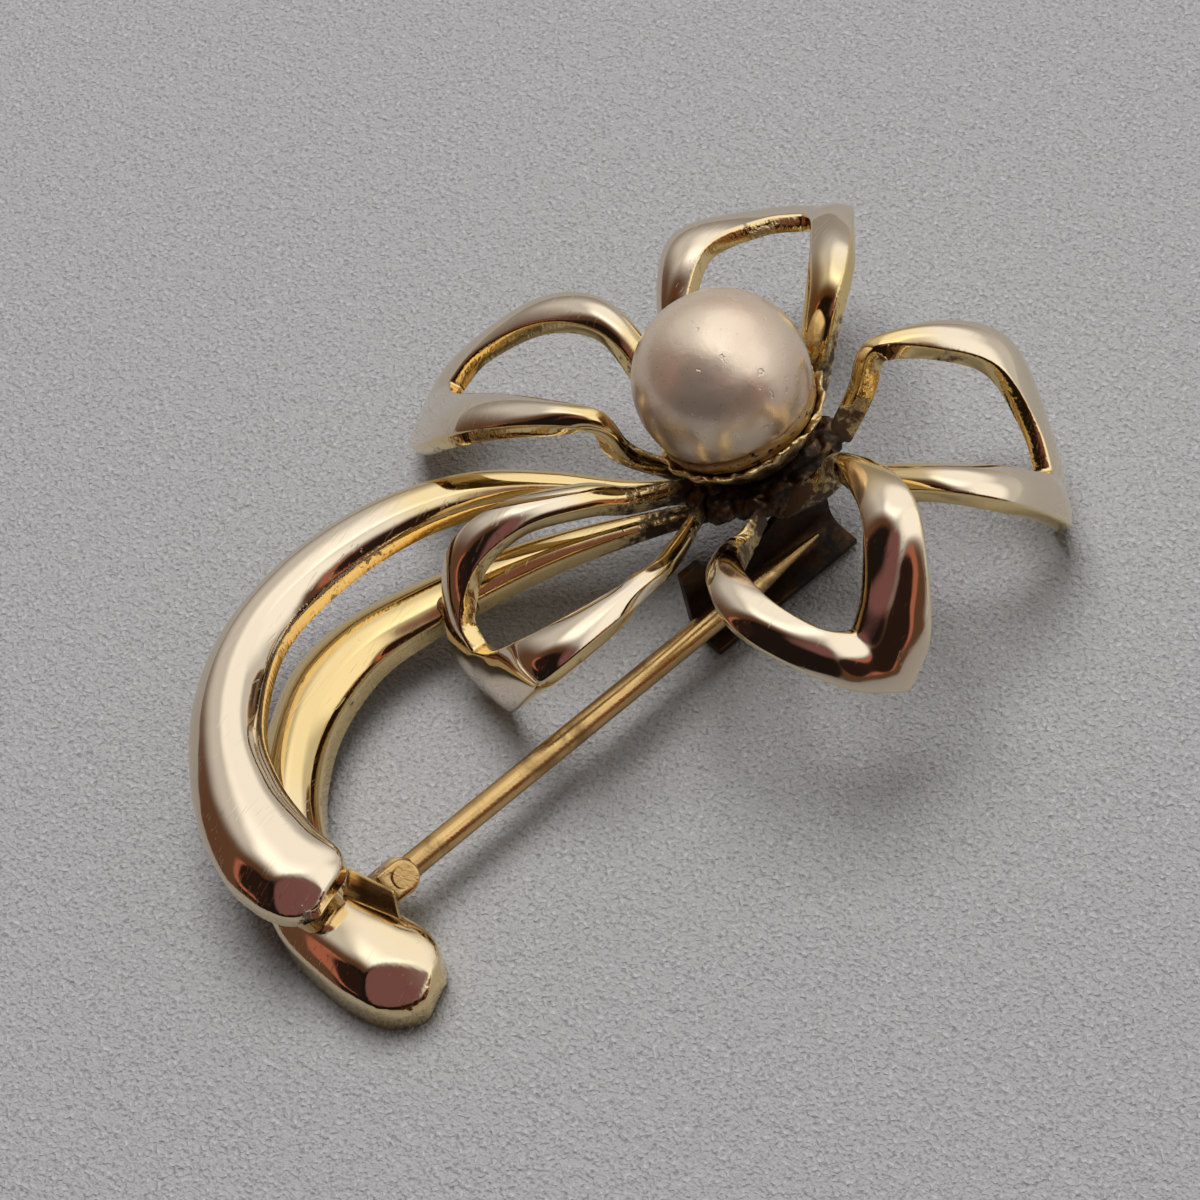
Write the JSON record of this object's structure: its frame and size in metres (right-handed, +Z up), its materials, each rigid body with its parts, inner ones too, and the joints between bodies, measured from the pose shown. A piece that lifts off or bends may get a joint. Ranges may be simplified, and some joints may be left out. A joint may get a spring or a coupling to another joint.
{
  "type": "flower brooch",
  "caption": "Old gilt flower brooch with open petals round a pearl in a crimped cup, crescent stems, and a hinged pin that rests in a hook catch.",
  "frame": {"origin": "middle of the footprint, on the surface that the brooch lies on", "axes": "+Z up from the surface, +Y from the stem ends to the flower, +X to the right of the flower seen from above"},
  "size_m": [0.0312, 0.044, 0.014],
  "materials": {
    "gilt_petal": "worn gilt, silver-white on the domes and yellow gold at the roots, fine scratches",
    "gilt_stem": "worn gilt, silver-white on the domes and brown in the reflections, tarnish spots",
    "solder": "dark tarnished solder",
    "gilt_cup": "dull gilt with dark tarnish in the crimps",
    "glue": "old amber glue with dark specks",
    "pearl": "cream pearl lustre with fine pits",
    "catch_sheet": "dull gilt sheet with burred, darkened edges",
    "pin_gilt": "polished gilt wire with fine scratches"
  },
  "bodies": {
    "frame": {"petal_1": "gilt_petal", "petal_2": "gilt_petal", "petal_3": "gilt_petal", "petal_4": "gilt_petal", "petal_5": "gilt_petal", "stem_upper": "gilt_stem", "stem_lower": "gilt_stem", "hub": "solder", "cup": "gilt_cup", "glue_bed": "glue", "pearl": "pearl", "catch": "catch_sheet", "hinge_bracket": "pin_gilt", "hinge_rivet": "pin_gilt"},
    "pin": {"pin_stem": "pin_gilt"}
  },
  "joints": [
    {"name": "pin_hinge", "type": "hinge", "parent": "frame", "child": "pin", "pos_m": [-0.00075, -0.01627, 0.0022], "axis": [-0.6206, 0.1675, -0.766], "range_deg": [0, 75]}
  ]
}
